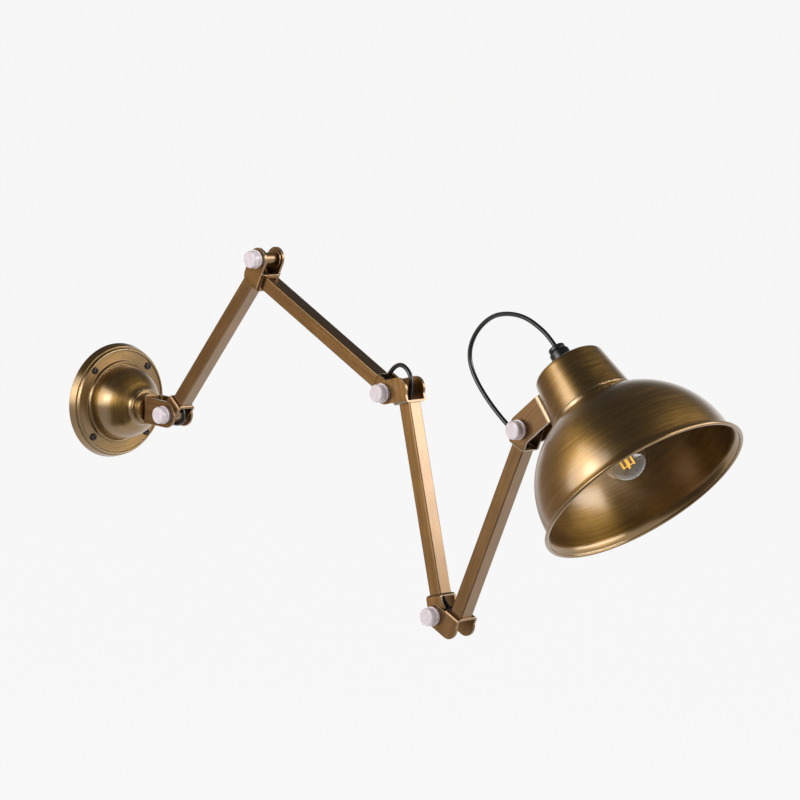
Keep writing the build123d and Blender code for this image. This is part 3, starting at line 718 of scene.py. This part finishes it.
# pale studio, in metres: white floor far below, white surround that dims overhead, soft lamps,
# and cards that only gloss sees (warm by the wall, dark beside the camera and below)
studio = {
    "floorDrop": 1.3,
    "floorHalf": 300.0,
    "floorCells": 8,
    "paper": "#f4f3f1",
    "glow": 0.9,
    "surround": 1.0,
    "backdrop": 0.93,
    "overhead": 0.09,
    "dimming": (0.05, 0.5),
    "ambient": 0.30,
    "aim": (0.48, 0.0, 0.03),
    "lamps": [
        {"name": "sideSoftbox", "from": (0.81, 0.43, 0.40), "far": 2.4, "size": (2.6, 1.1),
         "watts": 54.0},
        {"name": "frontPanel", "from": (-0.26, -0.93, 0.26), "far": 2.9, "size": (2.6, 2.2),
         "watts": 54.0},
        {"name": "frontCore", "from": (-0.11, -0.96, 0.26), "far": 2.8, "size": (1.0, 0.9),
         "watts": 20.0},
    ],
    "cards": [
        {"name": "buffCard", "from": (-0.93, -0.36, 0.0), "far": 2.4, "size": 3.0,
         "level": 0.38, "tint": "#ffe0bc"},
        {"name": "darkCard", "from": (0.50, -0.80, -0.25), "far": 2.4, "size": 2.8,
         "level": 0.08, "tint": "#ffffff"},
        {"name": "underCard", "from": (0.30, -0.45, -0.84), "far": 1.4, "size": 1.8,
         "level": 0.1, "tint": "#ffffff"},
    ],
}
white = hexColour("#ffffff")


def rayKind(tree):  # 1 for rays that should see the plain background
    path = addNode(tree, "ShaderNodeLightPath")
    first = addNode(tree, "ShaderNodeMath", {"operation": "MAXIMUM"}, None,
                    {0: (path, "Is Camera Ray"), 1: (path, "Is Glossy Ray")})
    return addNode(tree, "ShaderNodeMath", {"operation": "MAXIMUM"}, None,
                   {0: (first, "Value"), 1: (path, "Is Transmission Ray")})


def facingAim(plan):
    away = Vector(plan["from"]).normalized()
    place = Matrix.Translation(Vector(studio["aim"]) + away * plan["far"])
    return place @ away.to_track_quat("Z", "Y").to_matrix().to_4x4()


def makePlane(name, half, cells, place):
    mesh = bmesh.new()
    bmesh.ops.create_grid(mesh, x_segments=cells, y_segments=cells, size=half, matrix=place)
    return meshPiece(name, mesh)


world = bpy.data.worlds.new("studioWorld")
scene.world = world
world.use_nodes = True
tree = world.node_tree
tree.nodes.clear()
worldOut = addNode(tree, "ShaderNodeOutputWorld")
direction = addNode(tree, "ShaderNodeTexCoord")
heights = addNode(tree, "ShaderNodeSeparateXYZ", None, None, {"Vector": (direction, "Generated")})
overhead = addNode(tree, "ShaderNodeMapRange", {"interpolation_type": "SMOOTHSTEP"},
                   {"From Min": studio["dimming"][0], "From Max": studio["dimming"][1],
                    "To Min": studio["surround"], "To Max": studio["overhead"]},
                   {"Value": (heights, "Z")})
kind = rayKind(tree)
level = addNode(tree, "ShaderNodeMix", {"data_type": "FLOAT"}, {"A": studio["ambient"]},
                {"Factor": (kind, "Value"), "B": (overhead, "Result")})
# the camera itself sees the floor's own white
eye = addNode(tree, "ShaderNodeLightPath")
seen = addNode(tree, "ShaderNodeMix", {"data_type": "FLOAT"}, {"B": studio["backdrop"]},
               {"Factor": (eye, "Is Camera Ray"), "A": (level, "Result")})
sky = addNode(tree, "ShaderNodeBackground", None, {"Color": white}, {"Strength": (seen, "Result")})
tree.links.new(sky.outputs["Background"], worldOut.inputs["Surface"])

# matt white paper: even and almost shadowless to the eye, clear when seen from below
floorPlace = Matrix.Translation((0, 0, cadBox[0][2] - studio["floorDrop"]))
floor = makePlane("studioFloor", studio["floorHalf"], studio["floorCells"], floorPlace)
floorPaint, tree, floorOut = emptyMaterial("matteWhitePaper")
paper = addNode(tree, "ShaderNodeBsdfDiffuse", None, {"Color": hexColour(studio["paper"])})
glow = addNode(tree, "ShaderNodeEmission", None, {"Color": white, "Strength": 1.0})
kind = rayKind(tree)
share = addNode(tree, "ShaderNodeMath", {"operation": "MULTIPLY"}, {1: studio["glow"]},
                {0: (kind, "Value")})
mixed = addNode(tree, "ShaderNodeMixShader", None, None,
                {"Fac": (share, "Value"), 1: (paper, "BSDF"), 2: (glow, "Emission")})
side = addNode(tree, "ShaderNodeNewGeometry")
nothing = addNode(tree, "ShaderNodeBsdfTransparent")
oneSided = addNode(tree, "ShaderNodeMixShader", None, None,
                   {"Fac": (side, "Backfacing"), 1: (mixed, "Shader"), 2: (nothing, "BSDF")})
tree.links.new(oneSided.outputs["Shader"], floorOut.inputs["Surface"])
floor.data.materials.append(floorPaint)

for lamp in studio["lamps"]:
    data = bpy.data.lights.new(lamp["name"], "AREA")
    data.shape = "RECTANGLE"
    data.size, data.size_y = lamp["size"]
    data.energy = lamp["watts"]
    light = bpy.data.objects.new(lamp["name"], data)
    scene.collection.objects.link(light)
    light.matrix_world = facingAim(lamp)
    light.visible_camera = False

for cardPlan in studio["cards"]:
    card = makePlane(cardPlan["name"], cardPlan["size"] / 2, 1, facingAim(cardPlan))
    cardPaint, tree, cardOut = emptyMaterial(cardPlan["name"] + "Felt")
    cardGlow = addNode(tree, "ShaderNodeEmission", None,
                       {"Color": hexColour(cardPlan["tint"]), "Strength": cardPlan["level"]})
    tree.links.new(cardGlow.outputs["Emission"], cardOut.inputs["Surface"])
    card.data.materials.append(cardPaint)
    card.visible_camera = False
    card.visible_diffuse = False
    card.visible_shadow = False
    card.visible_transmission = False
print("studio lit")
